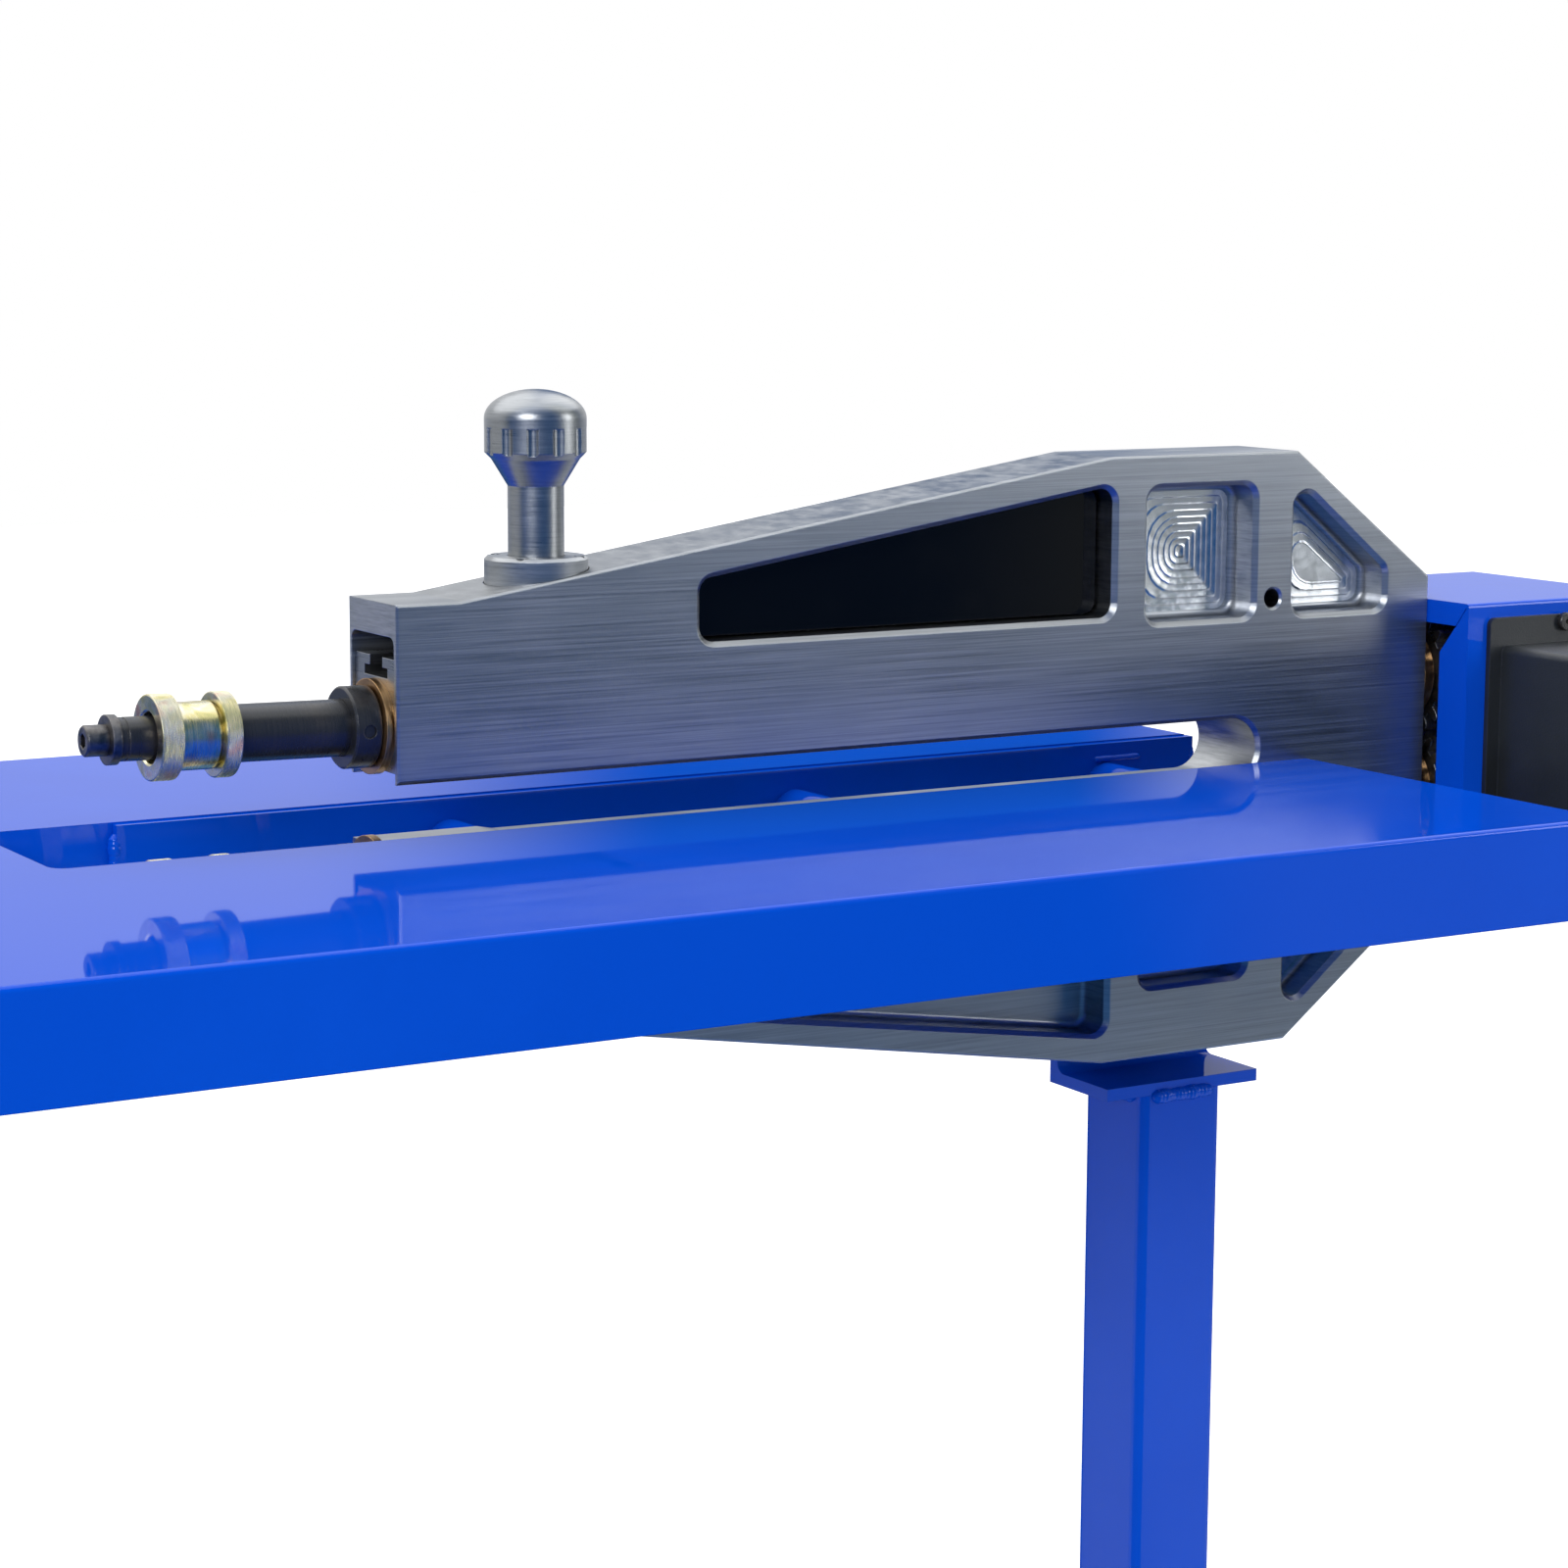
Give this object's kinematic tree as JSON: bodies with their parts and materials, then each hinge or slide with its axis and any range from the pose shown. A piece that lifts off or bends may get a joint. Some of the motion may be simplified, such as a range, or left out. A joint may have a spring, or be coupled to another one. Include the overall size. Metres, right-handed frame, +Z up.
{
  "type": "bead roller",
  "caption": "Motor-driven bead roller with a deep-throat billet frame, geared shafts, a height knob and a steel work table on a post stand.",
  "frame": {"origin": "on the floor, on the axis of the stand's post", "axes": "+X from the die end towards the drive end, +Y away from the operator, +Z up"},
  "size_m": [1.2083, 0.608, 1.234],
  "materials": {
    "machined_aluminium": "satin",
    "black_oxide": "satin",
    "zinc_yellow": "satin",
    "bronze": "satin",
    "bright_steel": "satin",
    "worn_black_steel": "satin",
    "blue_powder_coat": "gloss",
    "black_powder_coat": "satin",
    "gloss_black_plate": "gloss",
    "black_plastic": "matt",
    "grey_motor_paint": "satin",
    "polished_aluminium": "polished"
  },
  "bodies": {
    "frame": {"frame_body": "machined_aluminium", "name_plate": "gloss_black_plate", "stud_guide_bush": "bronze", "head_cap": "machined_aluminium", "head_cap_screws": "black_oxide", "upper_rear_seat": "bronze", "lower_front_bush": "bronze", "lower_rear_bush": "bronze", "rear_guard": "blue_powder_coat", "guard_frame_screws": "black_oxide", "guard_cover": "blue_powder_coat", "guard_cover_screws": "black_oxide", "motor_cover": "black_powder_coat", "motor_screws": "black_oxide", "drive_motor": "grey_motor_paint", "cable_gland": "black_plastic", "worm_support": "machined_aluminium", "worm_end_bush": "bronze", "table_top": "blue_powder_coat", "table_bar": "blue_powder_coat", "table_bolts": "bright_steel", "table_spacers": "blue_powder_coat", "stand_bracket": "blue_powder_coat", "bracket_spacer": "machined_aluminium", "bracket_bolts": "bright_steel", "post": "blue_powder_coat", "base_rail": "blue_powder_coat", "base_feet": "blue_powder_coat", "tube_end_caps": "black_plastic", "stand_gussets": "blue_powder_coat"},
    "knob": {"adjuster_knob": "polished_aluminium"},
    "stud": {"lift_stud": "bright_steel"},
    "bearing_block": {"upper_bearing_block": "machined_aluminium", "upper_front_bush": "bronze", "upper_rear_ball": "bronze"},
    "upper_spindle": {"upper_shaft": "black_oxide", "upper_shaft_keys": "bright_steel", "upper_die_washer": "worn_black_steel", "upper_die_screw": "worn_black_steel", "upper_rear_retainer": "worn_black_steel", "upper_collar": "black_oxide", "upper_collar_screw": "black_oxide", "upper_gear": "bright_steel"},
    "upper_ring": {"upper_lock_ring": "zinc_yellow"},
    "upper_sleeve": {"upper_die_sleeve": "zinc_yellow"},
    "lower_spindle": {"lower_shaft": "black_oxide", "lower_shaft_keys": "bright_steel", "lower_die_washer": "worn_black_steel", "lower_die_screw": "worn_black_steel", "lower_rear_retainer": "worn_black_steel", "lower_collar": "black_oxide", "lower_collar_screw": "black_oxide", "lower_gear": "bright_steel", "gear_spacer": "bright_steel", "worm_wheel": "bronze"},
    "lower_ring": {"lower_lock_ring": "zinc_yellow"},
    "lower_sleeve": {"lower_die_sleeve": "zinc_yellow"},
    "worm": {"drive_worm": "bright_steel"}
  },
  "joints": [
    {"name": "lower_shaft_spin", "type": "hinge", "parent": "frame", "child": "lower_spindle", "pos_m": [0, -0.0254, 1.017], "axis": [1, 0, 0], "continuous": true},
    {"name": "worm_spin", "type": "hinge", "parent": "frame", "child": "worm", "pos_m": [0.1952, -0.0254, 1.046], "axis": [0, 1, 0], "continuous": true},
    {"name": "upper_tilt", "type": "hinge", "parent": "frame", "child": "bearing_block", "pos_m": [0.1225, -0.0254, 1.0775], "axis": [0, 1, 0], "range_deg": [-1, 0.35]},
    {"name": "upper_shaft_spin", "type": "hinge", "parent": "bearing_block", "child": "upper_spindle", "pos_m": [0.1225, -0.0254, 1.0775], "axis": [0.9999, 0, -0.0169], "continuous": true},
    {"name": "knob_turn", "type": "hinge", "parent": "frame", "child": "knob", "pos_m": [-0.3703, -0.0254, 1.2], "axis": [0, 0, 1], "range_deg": [-1225, 428]},
    {"name": "stud_lift", "type": "slide", "parent": "frame", "child": "stud", "axis": [0, 0, 1], "range_m": [-0.0086, 0.003]},
    {"name": "upper_ring_turn", "type": "hinge", "parent": "upper_spindle", "child": "upper_ring", "pos_m": [0.1225, -0.0254, 1.0775], "axis": [0.9999, 0, -0.0169], "range_deg": [-70, 835]},
    {"name": "upper_sleeve_slide", "type": "slide", "parent": "upper_spindle", "child": "upper_sleeve", "axis": [-0.9999, 0, 0.0169], "range_m": [-0.0003, 0.0035]},
    {"name": "lower_ring_turn", "type": "hinge", "parent": "lower_spindle", "child": "lower_ring", "pos_m": [0, -0.0254, 1.017], "axis": [1, 0, 0], "range_deg": [-70, 835]},
    {"name": "lower_sleeve_slide", "type": "slide", "parent": "lower_spindle", "child": "lower_sleeve", "axis": [-1, 0, 0], "range_m": [-0.0003, 0.0035]}
  ],
  "couplings": [
    {"joint": "worm_spin", "follows": "lower_shaft_spin", "ratio": 27},
    {"joint": "upper_shaft_spin", "follows": "lower_shaft_spin", "ratio": -1},
    {"joint": "stud_lift", "follows": "knob_turn", "m_per_rad": 0.00039789},
    {"joint": "upper_tilt", "follows": "knob_turn", "ratio": 0.0008074},
    {"joint": "upper_sleeve_slide", "follows": "upper_ring_turn", "m_per_rad": 0.00023873},
    {"joint": "lower_sleeve_slide", "follows": "lower_ring_turn", "m_per_rad": 0.00023873}
  ]
}
